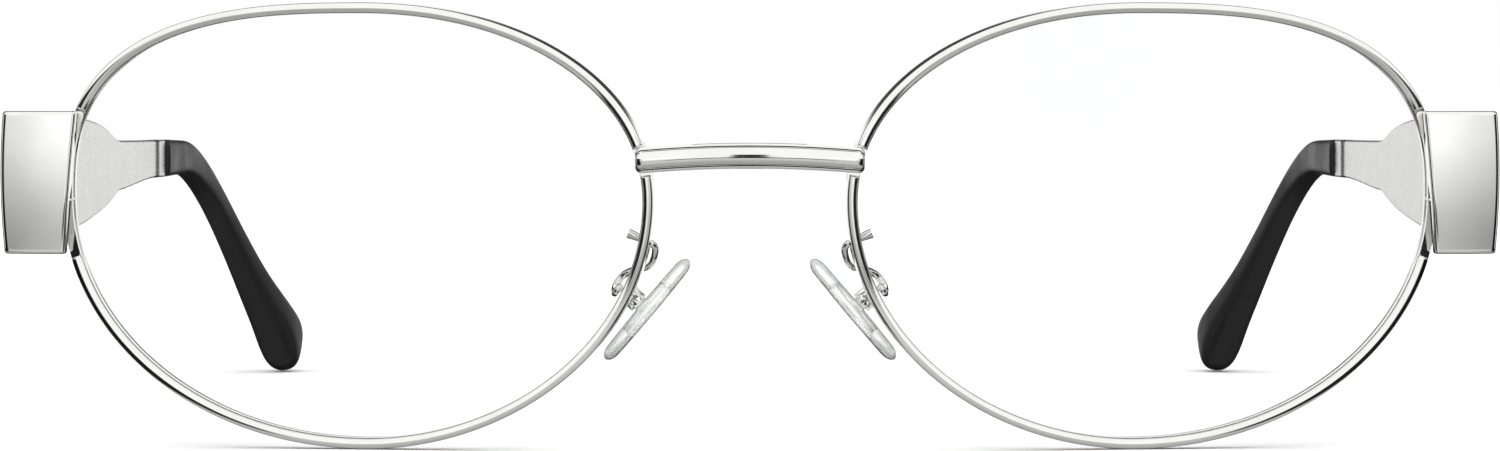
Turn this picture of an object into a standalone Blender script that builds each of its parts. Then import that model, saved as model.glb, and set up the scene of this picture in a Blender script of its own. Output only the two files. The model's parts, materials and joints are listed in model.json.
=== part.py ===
"""Oval metal eyeglasses with wide wrap-round endpieces, folding temples and clear nose pads.

The wearer looks towards -Y, +Z is up, and the glasses stand open on the bottoms of the rims and of
the temple tips. Left and right are the wearer's: left is +X. Every dimension is in millimetres or
degrees, and solid() turns the millimetres into metres.
"""

import math

import bmesh
import bpy
from mathutils import Matrix, Vector

MM = 0.001
GAP = 0.04  # between pieces that are soldered, pushed or screwed together
SIDES = {"left": 1, "right": -1}

# Eyewire: one oval per eye, made of four quarter superellipses that share their axes
LENS_X, LENS_Y, LENS_Z = 36.75, 2.2, 23.45  # centre of the left eye's oval
TEMPORAL_REACH, NASAL_REACH = 29.25, 27.6  # half widths of the oval
UPPER_REACH, LOWER_REACH = 18.75, 23.5  # half heights of the oval
SQUARENESS = {(1, 1): 2.65, (-1, 1): 2.1, (1, -1): 2.02, (-1, -1): 1.98}  # (temporal, upper) signs
WRAP, PANTO = 7.0, 3.0  # the rims turn back at the temples, and lean back at the bottom
BASE_RADIUS = 132.0  # sphere that the lenses and the rims follow
RIM_WIDTH, RIM_FRONT, RIM_BACK = 1.0, -1.1, 1.1
BEAD_FOOT = -0.75  # where the round bead on the rim's front starts, and where it is filed away
GROOVE_HALF, GROOVE_DEPTH = 0.4, 0.45
RIM_STEPS = 52
SPLIT_HALF = 0.15  # half of the saw cut that opens the rim at its closing block
FILED = 0.35  # how far the bead is filed back above and below the endpiece

LENS_HALF = 0.75  # half of the lens thickness
BEVEL_HALF, BEVEL_RISE = 0.33, 0.4

# Bridge
BRIDGE_Z, BRIDGE_ARCH = 27.6, 0.5
BRIDGE_Y, BRIDGE_BOW = 0.45, 1.2
BRIDGE_REACH = 10.75
BRIDGE_HALF_DEPTH, BRIDGE_SHOULDER = 0.85, 0.25  # the round front ends at the shoulder
BRIDGE_FRONT_HALF_HEIGHT, BRIDGE_BACK_HALF_HEIGHT = 0.95, 1.2
BRIDGE_END_SIZES = [(1.0, 0.35), (0.995, 0.7), (0.975, 0.92), (0.94, 1.0)]  # (share of the reach, size)
BRIDGE_SEAT_ABOVE, BRIDGE_SEAT_BELOW = 1.15, 1.48  # the rim's bead is filed away this far round the bar

# Endpiece: a plate across the rim's temporal side that turns the corner to the temple
END_BOTTOM, END_TOP = 18.4, 32.0
END_OUTER_X, END_REAR_Y = 71.35, 13.15
END_THICK, END_CROWN = 1.25, 0.25
END_CORNER, END_INNER_CORNER = 0.6, 0.15
END_INNER_X, END_LEAN = 64.5, 0.09  # inner end over the rim, at the middle of its height, and its slope

# Closing block: two halves that a screw pulls together across the rim's saw cut
BLOCK_REACH, BLOCK_HALF_DEPTH, BLOCK_HEIGHT = 2.2, 1.0, 1.7
BLOCK_SETBACK, BLOCK_STANDOFF = 0.55, 0.12  # behind the middle of the rim, and from its curve
BLOCK_SCREW_RADIUS, BLOCK_HEAD_RADIUS, BLOCK_HEAD_HEIGHT = 0.5, 0.85, 0.5

# Temple hinge
HINGE_X, HINGE_Y, HINGE_Z = 68.6, 13.2, 25.4
KNUCKLE_RADIUS, KNUCKLE_HEIGHT, KNUCKLE_GAP = 1.15, 1.75, 0.05
LEAF_NEAR, LEAF_LENGTH, LEAF_HALF_HEIGHT = 0.75, 2.5, 2.7
LEAF_GAP, RELIEF_PLAY = 0.1, 0.08
HINGE_SCREW_RADIUS, HINGE_HEAD_RADIUS, HINGE_HEAD_HEIGHT = 0.55, 0.95, 0.6
BORE_PLAY = 0.05
SLOT_HALF, SLOT_DEPTH, SCREW_CHAMFER = 0.12, 0.25, 0.12

# Temple: a plate that narrows at two shoulders, a flat arm, and a core inside the tip.
# Its stations run back from the hinge axis along the arm.
TEMPLE_TOE_IN = 2.8
TEMPLE_INNER, TEMPLE_OUTER = 1.38, 2.65
TEMPLE_TOP = [
    (0.05, 6.5), (15, 6.4), (30, 5.85), (39, 5.3), (45, 4.6), (48.5, 3.9), (51.5, 3.4), (55, 3.3), (76, 3.2),
]
TEMPLE_BOTTOM = [
    (0.05, -6.5), (15, -6.15), (30, -5.2), (39, -4.3), (45, -3.5), (48.5, -2.8), (51.5, -2.15), (55, -1.95),
    (76, -1.0),
]
ARM_END, CORE_END = 78.9, 106.0
ARM_BEVEL, CORE_BEVEL = 0.25, 0.15
COLLAR_START, COLLAR_FULL, COLLAR_HALF_THICK = 73.6, 75.2, 0.95  # the arm swells to meet the tip
CORE_MIDDLE = 1.1  # above the centreline, halfway up the end of the arm
CORE_HALF_HEIGHT, CORE_HALF_THICK, CORE_PLAY, CORE_END_PLAY = 1.3, 0.5, 0.06, 0.5
DROP, DROP_START, DROP_END = 45.2, 90.0, 113.0  # how the temple turns down behind the ear
INWARD, INWARD_START, INWARD_END = 14.1, 91.0, 111.0  # and towards the head

# Temple tip: half height and half thickness along the same centreline
TIP_START, TIP_END = 79.0, 135.5
TIP_MIDDLES = [
    (79, 1.1), (100, 1.05), (108, 0.85), (116, 0.3), (122, -0.1), (128, -0.1), (132, -0.2), (135.5, 0.0),
]  # above the centreline
TIP_HALF_HEIGHTS = [
    (79, 2.1), (90, 1.95), (102, 1.85), (112, 1.9), (119, 2.15), (125, 2.65), (130, 3.45), (132.8, 4.0),
    (134.6, 3.4), (135.5, 2.2),
]
TIP_HALF_THICKS = [
    (79, 1.45), (88, 1.35), (100, 1.25), (112, 1.4), (120, 1.7), (127, 2.15), (131, 2.4), (133.4, 2.25),
    (134.8, 1.65), (135.5, 0.9),
]
TIP_ROUNDING, SLOT_ROUNDING = (0.45, 0.7), 0.3  # of the sections' corners, from the mouth to the end

# Nose pad: rocks on the screw of its box
PAD_PIVOT = (10.95, 9.5, 14.0)
PAD_LEAN = 40.0  # of its long axis from the vertical, seen from the front
PAD_HALF_LENGTH, PAD_HALF_WIDTH, PAD_HALF_THICK = 6.2, 3.4, 0.8
PAD_STANDOFF = 1.45  # from the screw to the middle of the pad
PAD_NARROWING = 0.22
PAD_LAYERS = [(-1.0, -1.0), (-0.7, -0.3), (0.0, 0.0), (0.7, -0.3), (1.0, -1.0)]  # (level, growth)
BOX_HALF_WIDTH, BOX_HALF_HEIGHT, BOX_MOUTH, BOX_BACK, BOX_WALL = 0.95, 1.0, -0.5, 1.35, 0.35
PAD_SCREW_RADIUS, PAD_HEAD_RADIUS, PAD_HEAD_HEIGHT = 0.33, 0.62, 0.4
PAD_CORE_HALF_WIDTH, PAD_CORE_HALF_LENGTH, PAD_CORE_HALF_THICK = 1.6, 2.8, 0.25
LUG_PLAY, LUG_HALF_HEIGHT, LUG_REACH = 0.08, 0.7, 0.8

# Pad arm: a bent wire from the back of the rim to the pad box
ARM_WIRE_RADIUS, ARM_WIRE_SIDES = 0.34, 8
ARM_ROUTE = [
    (11.5, 3.75, 20.5), (9.95, 3.75, 19.85), (9.0, 4.1, 19.2), (9.15, 5.6, 18.0), (9.8, 7.7, 17.2),
    (10.9, 9.8, 16.9), (12.1, 11.1, 16.3), (12.85, 11.1, 15.3), (12.95, 10.3, 14.6), (12.75, 9.6, 14.85),
    (12.2, 9.5, 15.4),
]

METAL = ("polished_steel", (0.80, 0.80, 0.78), 0.12, 1.0)
SATIN = ("satin_steel", (0.70, 0.70, 0.68), 0.38, 1.0)
BLACK = ("black_tip_plastic", (0.012, 0.012, 0.012), 0.45, 0.0)
CLEAR = ("clear_lens", (0.95, 0.97, 0.97), 0.03, 0.0)
SILICONE = ("clear_silicone", (0.90, 0.92, 0.90), 0.15, 0.0)
CORE_PLASTIC = ("pad_core_plastic", (0.80, 0.82, 0.80), 0.25, 0.0)


# ---------------------------------------------------------------- helpers


def material(finish):
    """The Principled material of a (name, colour, roughness, metallic) finish, made once."""
    name, colour, roughness, metallic = finish
    found = bpy.data.materials.get(name)
    if found:
        return found
    made = bpy.data.materials.new(name)
    made.use_nodes = True
    shader = made.node_tree.nodes["Principled BSDF"]
    shader.inputs["Base Color"].default_value = (*colour, 1.0)
    shader.inputs["Roughness"].default_value = roughness
    shader.inputs["Metallic"].default_value = metallic
    return made


def solid(name, points, faces, finish, side=1, parent=None):
    """A closed mesh object. Points are millimetres on the wearer's left, and side -1 mirrors them."""
    mesh = bpy.data.meshes.new(name)
    mesh.from_pydata([(side * p[0] * MM, p[1] * MM, p[2] * MM) for p in points], [], faces)
    shell = bmesh.new()
    shell.from_mesh(mesh)
    bmesh.ops.recalc_face_normals(shell, faces=shell.faces)
    bmesh.ops.triangulate(shell, faces=shell.faces)
    shell.to_mesh(mesh)
    shell.free()
    mesh.shade_smooth()
    mesh.set_sharp_from_angle(angle=math.radians(35))
    mesh.materials.append(material(finish))
    made = bpy.data.objects.new(name, mesh)
    bpy.context.scene.collection.objects.link(made)
    made.parent = parent
    return made


def lofted(rings, loop=False):
    """Points and faces of the skin through rings of equal length, capped unless the rings form a loop."""
    count = len(rings[0])
    points = [p for ring in rings for p in ring]
    faces = []
    for i in range(len(rings) if loop else len(rings) - 1):
        a, b = i * count, (i + 1) % len(rings) * count
        faces += [(a + k, a + (k + 1) % count, b + (k + 1) % count, b + k) for k in range(count)]
    if not loop:
        faces.append(tuple(range(count)))
        faces.append(tuple(range(len(points) - count, len(points))))
    return points, faces


def block(low, high):
    """Points and faces of an upright box."""
    rings = [[(low[0], low[1], z), (high[0], low[1], z), (high[0], high[1], z), (low[0], high[1], z)]
             for z in (low[2], high[2])]
    return lofted(rings)


def drum(radii, levels, centre=(0, 0), steps=16):
    """Points and faces of a round piece about a vertical axis, with one radius at each level."""
    turns = [math.tau * k / steps for k in range(steps)]
    return lofted([[(centre[0] + r * math.cos(turn), centre[1] + r * math.sin(turn), z) for turn in turns]
                   for r, z in zip(radii, levels)])


def boolean(target, cutter, operation):
    """Adds an exact Boolean with a hidden helper to the target."""
    cutter.hide_render = True
    cutter.display_type = "WIRE"
    change = target.modifiers.new(cutter.name, "BOOLEAN")
    change.operation = operation
    change.object = cutter
    return target


def empty(name, location, side, turn=None):
    """An axis marker that moving pieces are parented to, with their origin on the joint."""
    made = bpy.data.objects.new(name, None)
    made.empty_display_size = 3 * MM
    bpy.context.scene.collection.objects.link(made)
    made.location = Vector((side * location[0], location[1], location[2])) * MM
    if turn:
        made.rotation_euler = turn
    return made


def between(table, at):
    """Smooth curve through a table of (station, value), with flat ends."""
    if at <= table[0][0]:
        return table[0][1]
    if at >= table[-1][0]:
        return table[-1][1]
    i = next(k for k in range(len(table) - 1) if table[k + 1][0] >= at)

    def slope(k):
        if k in (0, len(table) - 1):
            return 0.0
        return (table[k + 1][1] - table[k - 1][1]) / (table[k + 1][0] - table[k - 1][0])

    (x0, y0), (x1, y1) = table[i], table[i + 1]
    span = x1 - x0
    u = (at - x0) / span
    return ((2 * u**3 - 3 * u**2 + 1) * y0 + (u**3 - 2 * u**2 + u) * span * slope(i)
            + (3 * u**2 - 2 * u**3) * y1 + (u**3 - u**2) * span * slope(i + 1))


def eased(start, end, at):
    """0 before start, 1 after end, and a smooth step between."""
    u = min(1.0, max(0.0, (at - start) / (end - start)))
    return u * u * (3 - 2 * u)


def spread(start, end, count):
    return [start + (end - start) * k / (count - 1) for k in range(count)]


# ---------------------------------------------------------------- the oval of an eye


def outline(t):
    """Point (outwards, up) of the rim's outer edge. t = 0 is the temporal end, and pi/2 the top."""
    x, z = math.cos(t), math.sin(t)
    reach = TEMPORAL_REACH if x > 0 else NASAL_REACH
    rise = UPPER_REACH if z > 0 else LOWER_REACH
    power = SQUARENESS[(1 if x > 0 else -1, 1 if z > 0 else -1)]
    x, z = x * reach, z * rise
    scale = (abs(x / reach) ** power + abs(z / rise) ** power) ** (-1 / power)
    return Vector((x * scale, z * scale))


def outward(t):
    """Unit normal of the outline."""
    along = outline(t + 1e-3) - outline(t - 1e-3)
    return Vector((along.y, -along.x)).normalized()


def depth(x, z):
    """How far the base sphere has fallen back at a point of the lens plane."""
    return BASE_RADIUS - math.sqrt(BASE_RADIUS**2 - x * x - z * z)


def from_lens(x, z, v):
    """Point of the glasses from the left eye's lens plane: outwards, up and back."""
    wrap, panto = math.radians(WRAP), math.radians(PANTO)
    back = v * math.cos(panto) - z * math.sin(panto)
    up = v * math.sin(panto) + z * math.cos(panto)
    return Vector((
        LENS_X + x * math.cos(wrap) - back * math.sin(wrap),
        LENS_Y + back * math.cos(wrap) + x * math.sin(wrap),
        LENS_Z + up,
    ))


def section(t, profile):
    """A rim or lens profile of (outwards, back) points, set on the oval at t and on the base sphere."""
    base, normal = outline(t), outward(t)
    made = []
    for u, v in profile:
        spot = base + normal * u
        made.append(from_lens(spot.x, spot.y, depth(*spot) + v))
    return made


def height_at(t):
    return section(t, [(0, 0)])[0].z


def crossing(height, low, high):
    """The t between low and high where the oval passes a height."""
    for _ in range(40):
        middle = (low + high) / 2
        if (height_at(middle) - height) * (height_at(low) - height) > 0:
            low = middle
        else:
            high = middle
    return low


def filed_front(x, z):
    """Point just in front of where the rim's bead is filed back to, at a place in the front view."""
    across, up = x - LENS_X, z - LENS_Z
    for _ in range(6):
        found = from_lens(across, up, depth(across, up) + BEAD_FOOT - GAP)
        across += x - found.x
        up += z - found.z
    return found


def rim_profile(beaded):
    """The eyewire's section: a round bead in front, and a V groove inside for the lens."""
    crown = RIM_FRONT if beaded else BEAD_FOOT
    return [
        (0, RIM_BACK), (0, BEAD_FOOT), (-0.3 * RIM_WIDTH, crown), (-0.7 * RIM_WIDTH, crown),
        (-RIM_WIDTH, BEAD_FOOT), (-RIM_WIDTH, -GROOVE_HALF),
        (-RIM_WIDTH + GROOVE_DEPTH, 0), (-RIM_WIDTH, GROOVE_HALF), (-RIM_WIDTH, RIM_BACK),
    ]


# ---------------------------------------------------------------- front pieces


def make_rim(name, side):
    """The bead is filed away where the endpiece and the bridge cross the rim."""
    end_top, end_bottom = crossing(END_TOP + FILED, 0.05, 1.2), crossing(END_BOTTOM - FILED, -0.05, -1.2)
    bridge_top = crossing(BRIDGE_Z + BRIDGE_SEAT_ABOVE, math.pi - 0.05, 2.0)
    bridge_bottom = crossing(BRIDGE_Z - BRIDGE_SEAT_BELOW, math.pi - 0.05, 2.0)
    cut = SPLIT_HALF / TEMPORAL_REACH
    step = 0.001
    stations = [cut + (math.tau - 2 * cut) * k / RIM_STEPS for k in range(RIM_STEPS + 1)]
    for edge in (end_top, end_bottom % math.tau, bridge_top, bridge_bottom):
        stations = [t for t in stations if abs(t - edge) > 0.02] + [edge - step, edge + step]

    def beaded(t):
        return end_top < t < end_bottom % math.tau and not bridge_top < t < bridge_bottom

    rings = [section(t, rim_profile(beaded(t))) for t in sorted(stations)]
    solid(name, *lofted(rings), METAL, side)


def make_lens(name, side):
    """A domed lens of even thickness whose bevelled edge sits in the rim's groove."""
    edge = -RIM_WIDTH - GAP
    peak = edge + BEVEL_RISE
    rim = [(edge, -LENS_HALF), (edge, -BEVEL_HALF), (peak, 0), (edge, BEVEL_HALF), (edge, LENS_HALF)]
    sections = [section(math.tau * k / RIM_STEPS, rim) for k in range(RIM_STEPS)]
    rings = [[s[k] for s in sections] for k in range(len(rim))]

    def inner(share, v):
        made = []
        for k in range(RIM_STEPS):
            base, normal = outline(math.tau * k / RIM_STEPS), outward(math.tau * k / RIM_STEPS)
            x, z = (base.x + normal.x * edge) * share, (base.y + normal.y * edge) * share
            made.append(from_lens(x, z, depth(x, z) + v))
        return made

    rings = [inner(0.5, -LENS_HALF), *rings, inner(0.5, LENS_HALF)]
    solid(name, *lofted(rings), CLEAR, side)


def make_bridge():
    """A bar whose rounded ends lap over both rims. It is round in front and flared towards its flat back."""
    dome = BRIDGE_HALF_DEPTH - BRIDGE_SHOULDER
    profile = []
    for turn in spread(0, math.pi, 10):
        back = -BRIDGE_SHOULDER - dome * math.sin(turn)
        profile.append((back, -BRIDGE_FRONT_HALF_HEIGHT * math.cos(turn)))
    profile += [(BRIDGE_HALF_DEPTH, BRIDGE_BACK_HALF_HEIGHT), (BRIDGE_HALF_DEPTH, -BRIDGE_BACK_HALF_HEIGHT)]
    stations = [(-share, size) for share, size in BRIDGE_END_SIZES]
    stations += [(share, 1.0) for share in spread(-0.75, 0.75, 7)]
    stations += BRIDGE_END_SIZES[::-1]
    rings = []
    for share, size in stations:
        x = share * BRIDGE_REACH
        y = BRIDGE_Y - BRIDGE_BOW * (1 - share**2)
        z = BRIDGE_Z + BRIDGE_ARCH * (0.5 - share**2)
        rings.append([(x, y + size * back, z + size * up) for back, up in profile])
    bridge = solid("bridge", *lofted(rings), METAL)
    inside = -1.5 * RIM_WIDTH
    front, back = BEAD_FOOT - GAP, RIM_BACK + GAP
    around = [(GAP, back), (GAP, front), (inside, front), (inside, back)]
    for side_name, side in SIDES.items():
        rings = [section(t, around) for t in spread(math.pi - 0.7, math.pi + 0.5, 24)]
        cutter = solid(f"{side_name}_rim_clearance", *lofted(rings), METAL, side)
        boolean(bridge, cutter, "DIFFERENCE")


def fillet(corner, before, after, radius, steps=5):
    """Arc that rounds a corner between two unit directions pointing away from it, in plan."""
    half = before.angle(after) / 2
    centre = corner + (before + after).normalized() * (radius / math.sin(half))
    first = corner + before * (radius / math.tan(half)) - centre
    last = corner + after * (radius / math.tan(half)) - centre
    turn = first.angle_signed(last)
    return [centre + Matrix.Rotation(-turn * k / (steps - 1), 2) @ first for k in range(steps)]


def endpiece_plan(height):
    """Closed plan of the endpiece at a height: outer face, corner, side wall, and back along the inside."""
    middle, half = (END_TOP + END_BOTTOM) / 2, (END_TOP - END_BOTTOM) / 2
    shrink = END_CROWN * ((height - middle) / half) ** 2
    back_start = filed_front(END_INNER_X - END_LEAN * (height - middle), height).xy
    outwards = Vector((math.cos(math.radians(WRAP)), math.sin(math.radians(WRAP))))
    forward = Vector((outwards.y, -outwards.x))
    front_start = back_start + forward * (END_THICK - shrink)

    def path(start, wall_x, radius):
        corner = start + outwards * ((wall_x - start.x) / outwards.x)
        return [start, *fillet(corner, -outwards, Vector((0, 1)), radius), Vector((wall_x, END_REAR_Y))]

    outer = path(front_start, END_OUTER_X - shrink, END_CORNER)
    inner = path(back_start, END_OUTER_X - END_THICK, END_INNER_CORNER)
    return [(p.x, p.y, height) for p in outer + inner[::-1]]


def make_endpiece(name, side):
    """Wrap-round plate, softly domed from top to bottom."""
    middle, half = (END_TOP + END_BOTTOM) / 2, (END_TOP - END_BOTTOM) / 2
    rings = [endpiece_plan(middle + half * share) for share in (-1, -0.85, -0.6, -0.3, 0, 0.3, 0.6, 0.85, 1)]
    solid(name, *lofted(rings), METAL, side)


def closing_centre():
    """Middle of the closing block, on the saw cut."""
    return section(0, [(GAP + BLOCK_REACH / 2, BLOCK_SETBACK)])[0]


def make_closing_block(side_name, side):
    """Upper and lower halves with a screw through both, soldered to the two ends of the rim."""
    centre = closing_centre()
    for half_name, low, high in (("upper", SPLIT_HALF, BLOCK_HEIGHT), ("lower", -BLOCK_HEIGHT, -SPLIT_HALF)):
        name = f"{side_name}_closing_block_{half_name}"
        near = (centre.x - BLOCK_REACH / 2 + BLOCK_STANDOFF, centre.y - BLOCK_HALF_DEPTH, centre.z + low)
        far = (centre.x + BLOCK_REACH / 2, centre.y + BLOCK_HALF_DEPTH, centre.z + high)
        body = solid(name, *block(near, far), METAL, side)
        bore = BLOCK_SCREW_RADIUS + BORE_PLAY
        ends = (centre.z - 2 * BLOCK_HEIGHT, centre.z + 2 * BLOCK_HEIGHT)
        hole = solid(f"{name}_hole", *drum((bore, bore), ends, centre.xy), METAL, side)
        boolean(body, hole, "DIFFERENCE")
    sizes = (BLOCK_SCREW_RADIUS, BLOCK_HEAD_RADIUS, BLOCK_HEAD_HEIGHT)
    make_screw(f"{side_name}_closing_screw", side, centre, sizes, -BLOCK_HEIGHT, BLOCK_HEIGHT + GAP)


def screw_shape(sizes, foot, seat, centre):
    """Points and faces of an upright screw, then of the cutter for its slot.

    Sizes are the shank's radius, and the head's radius and height. The shank runs from foot to seat.
    """
    radius, head_radius, head_height = sizes
    x, y, z = centre
    top = seat + head_height
    levels = [foot, foot + SCREW_CHAMFER, seat, seat, top - SCREW_CHAMFER, top]
    radii = [radius - SCREW_CHAMFER, radius, radius, head_radius, head_radius, head_radius - SCREW_CHAMFER]
    reach = 2 * head_radius
    slot = block((x - reach, y - SLOT_HALF, z + top - SLOT_DEPTH),
                 (x + reach, y + SLOT_HALF, z + top + SLOT_DEPTH))
    return drum(radii, [z + level for level in levels], (x, y)), slot


def make_screw(name, side, centre, sizes, foot, seat, parent=None):
    """Upright slotted screw."""
    screw_points, slot_points = screw_shape(sizes, foot, seat, centre)
    screw = solid(name, *screw_points, METAL, side, parent)
    boolean(screw, solid(f"{name}_slot", *slot_points, METAL, side, parent), "DIFFERENCE")


# ---------------------------------------------------------------- hinge


def make_hinge_part(name, side, levels, relief_levels, leaf_low, leaf_high, parent):
    """A leaf with its knuckles. Relief cuts let the other part's knuckles turn."""
    part = solid(name, *block(leaf_low, leaf_high), METAL, side, parent)

    def knuckle(index, level, radius, height, operation):
        levels = (level - height / 2, level + height / 2)
        shape = drum((radius, radius), levels)
        helper = solid(f"{name}_{operation.lower()}_{index}", *shape, METAL, side, parent)
        boolean(part, helper, operation)

    for index, level in enumerate(relief_levels):
        knuckle(index, level, KNUCKLE_RADIUS + RELIEF_PLAY, KNUCKLE_HEIGHT + 2 * KNUCKLE_GAP, "DIFFERENCE")
    for index, level in enumerate(levels):
        knuckle(index, level, KNUCKLE_RADIUS, KNUCKLE_HEIGHT, "UNION")
    bore = HINGE_SCREW_RADIUS + BORE_PLAY
    ends = (-3 * KNUCKLE_HEIGHT, 3 * KNUCKLE_HEIGHT)
    boolean(part, solid(f"{name}_bore", *drum((bore, bore), ends), METAL, side, parent), "DIFFERENCE")


def make_hinge(side_name, side, axis, front_axis):
    """Three knuckles on one screw: the outer two belong to the front, the middle one to the temple."""
    pitch = KNUCKLE_HEIGHT + KNUCKLE_GAP
    front_low = (LEAF_NEAR, -LEAF_GAP - LEAF_LENGTH, -LEAF_HALF_HEIGHT)
    front_high = (END_OUTER_X - END_THICK - GAP - HINGE_X, -LEAF_GAP, LEAF_HALF_HEIGHT)
    rear_low = (LEAF_NEAR, LEAF_GAP, -LEAF_HALF_HEIGHT)
    rear_high = (TEMPLE_INNER - GAP, LEAF_GAP + LEAF_LENGTH, LEAF_HALF_HEIGHT)
    front_name = f"{side_name}_hinge_front"
    make_hinge_part(front_name, side, (-pitch, pitch), (0,), front_low, front_high, front_axis)
    make_hinge_part(f"{side_name}_hinge_rear", side, (0,), (-pitch, pitch), rear_low, rear_high, axis)
    reach = 1.5 * KNUCKLE_HEIGHT + KNUCKLE_GAP
    sizes = (HINGE_SCREW_RADIUS, HINGE_HEAD_RADIUS, HINGE_HEAD_HEIGHT)
    make_screw(f"{side_name}_hinge_screw", side, (0, 0, 0), sizes, -reach, reach + GAP, front_axis)


# ---------------------------------------------------------------- temple


def temple_line():
    """Centreline of the temple as (station, point, frame), a point each millimetre.

    The line is traced by its heading: it runs straight back, then turns down behind the ear and in
    towards the head. The frame's axes are across the blade's thickness, along it, and up its height.
    """
    point = Vector(((TEMPLE_INNER + TEMPLE_OUTER) / 2, 0.05, 0))
    line = []
    for station in range(int(TIP_END) + 1):
        drop = math.radians(DROP) * eased(DROP_START, DROP_END, station)
        inward = math.radians(INWARD) * eased(INWARD_START, INWARD_END, station)
        level = math.cos(inward)
        along = Vector((-math.sin(inward), level * math.cos(drop), -level * math.sin(drop)))
        across = (Vector((1, 0, 0)) - along * along.x).normalized()
        line.append((point.copy(), across, across.cross(along)))
        point += along
    return line


TEMPLE_LINE = temple_line()


def on_line(station):
    """Point and axes of the temple's centreline at any station."""
    index = min(int(station), len(TEMPLE_LINE) - 2)
    return [a.lerp(b, station - index) for a, b in zip(TEMPLE_LINE[index], TEMPLE_LINE[index + 1])]


def blade(station, middle, half_height, half_thick, round_off, steps=12):
    """Rounded section round a middle above the centreline. A smaller round_off is squarer."""
    point, across, up = on_line(station)
    ring = []
    for k in range(steps):
        angle = math.tau * (k + 0.5) / steps
        x = half_thick * math.copysign(abs(math.cos(angle)) ** round_off, math.cos(angle))
        z = half_height * math.copysign(abs(math.sin(angle)) ** round_off, math.sin(angle))
        ring.append(point + across * x + up * (middle + z))
    return ring


def bar(station, low, high, half_thick, bevel):
    """Section of a flat bar with bevelled edges, from low to high."""
    point, across, up = on_line(station)
    x, inner = half_thick, half_thick - bevel
    corners = [(-inner, low), (inner, low), (x, low + bevel), (x, high - bevel),
               (inner, high), (-inner, high), (-x, high - bevel), (-x, low + bevel)]
    return [point + across * c + up * z for c, z in corners]


def make_temple_arm(name, side, axis):
    """Plate, shoulders, flat arm and collar in one, then the thinner core that the tip slides over."""
    flat = (TEMPLE_OUTER - TEMPLE_INNER) / 2
    rings = []
    for station in (0.0, 10, 20, 30, 36, 41, 45, 48, 50, 52, 55, 62, COLLAR_START, COLLAR_FULL, ARM_END):
        thick = flat if station <= COLLAR_START else COLLAR_HALF_THICK
        low, high = between(TEMPLE_BOTTOM, station), between(TEMPLE_TOP, station)
        rings.append(bar(station, low, high, thick, ARM_BEVEL))
    low, high = CORE_MIDDLE - CORE_HALF_HEIGHT, CORE_MIDDLE + CORE_HALF_HEIGHT
    for station in (ARM_END + GAP, *range(81, int(CORE_END), 4), CORE_END):
        rings.append(bar(station, low, high, CORE_HALF_THICK, CORE_BEVEL))
    solid(name, *lofted(rings), SATIN, side, axis)


def make_temple_tip(name, side, axis):
    """Sleeve, square at its mouth and rounder towards its paddle end, with a blind slot for the core."""
    outer = []
    for station in (TIP_START, *range(83, 127, 4), 128, 131, 132.8, 134.4, TIP_END):
        softness = TIP_ROUNDING[0] + (TIP_ROUNDING[1] - TIP_ROUNDING[0]) * eased(TIP_START, TIP_END, station)
        sizes = [between(table, station) for table in (TIP_MIDDLES, TIP_HALF_HEIGHTS, TIP_HALF_THICKS)]
        outer.append(blade(station, *sizes, softness))
    sizes = CORE_MIDDLE, CORE_HALF_HEIGHT + CORE_PLAY, CORE_HALF_THICK + CORE_PLAY
    stations = (TIP_START, *range(81, int(CORE_END), 4), CORE_END + CORE_END_PLAY)
    slot = [blade(station, *sizes, SLOT_ROUNDING) for station in stations]
    solid(name, *lofted(slot[::-1] + outer), BLACK, side, axis)


# ---------------------------------------------------------------- nose pad


def make_pad_arm(name, side):
    """Round wire bent along a smooth curve through its route."""
    route = [Vector(p) for p in ARM_ROUTE]
    padded = [2 * route[0] - route[1], *route, 2 * route[-1] - route[-2]]
    points = []
    for a, b, c, d in zip(padded, padded[1:], padded[2:], padded[3:]):
        for u in (0, 0.5):
            points.append(0.5 * (2 * b + (c - a) * u + (2 * a - 5 * b + 4 * c - d) * u**2
                                 + (3 * b - 3 * c + d - a) * u**3))
    points.append(route[-1])
    rings = []
    up = Vector((0, 0, 1))
    for i, point in enumerate(points):
        along = (points[min(i + 1, len(points) - 1)] - points[max(i - 1, 0)]).normalized()
        up = (up - along * up.dot(along)).normalized()
        over = along.cross(up)
        ring = []
        for k in range(ARM_WIRE_SIDES):
            turn = math.tau * k / ARM_WIRE_SIDES
            ring.append(point + ARM_WIRE_RADIUS * (over * math.cos(turn) + up * math.sin(turn)))
        rings.append(ring)
    solid(name, *lofted(rings), METAL, side)


def pad_frame(side):
    """Turn of the pad and its box: x away from the nose, y along the screw, z up the pad's length."""
    return (0, -side * math.radians(PAD_LEAN), 0)


def lying(shape):
    """A drum or block laid down along y, its top to the front."""
    points, faces = shape
    return [(x, -z, y) for x, y, z in points], faces


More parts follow.
